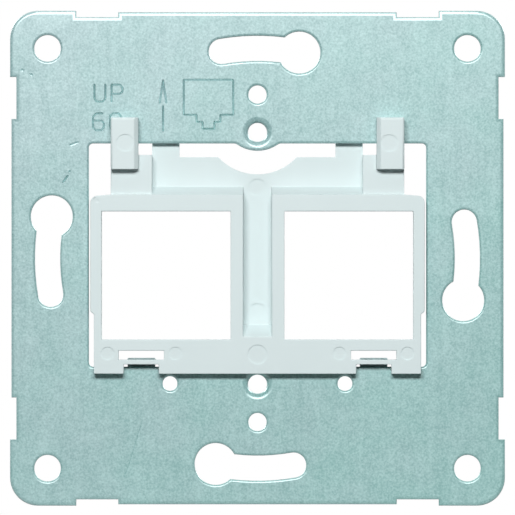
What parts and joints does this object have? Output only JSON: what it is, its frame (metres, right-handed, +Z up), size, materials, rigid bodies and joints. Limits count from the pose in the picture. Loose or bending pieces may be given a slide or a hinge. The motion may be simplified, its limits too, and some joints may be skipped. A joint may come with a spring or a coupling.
{
  "type": "modular jack mounting frame",
  "caption": "Square stamped steel support plate for a flush wall box, with keyhole slots and a snap-in plastic adapter that has square openings for modular jacks.",
  "frame": {"origin": "centre of the 60 mm screw circle, on the plate's rear face", "axes": "+X to the right seen from the front, +Y into the wall, +Z up"},
  "size_m": [0.0706, 0.0052, 0.0706],
  "materials": {
    "galvanised_steel": "matt galvanised sheet",
    "pale_plastic": "fine matt moulded"
  },
  "bodies": {
    "root": {"support_plate": "galvanised_steel", "jack_adapter": "pale_plastic"}
  },
  "joints": []
}
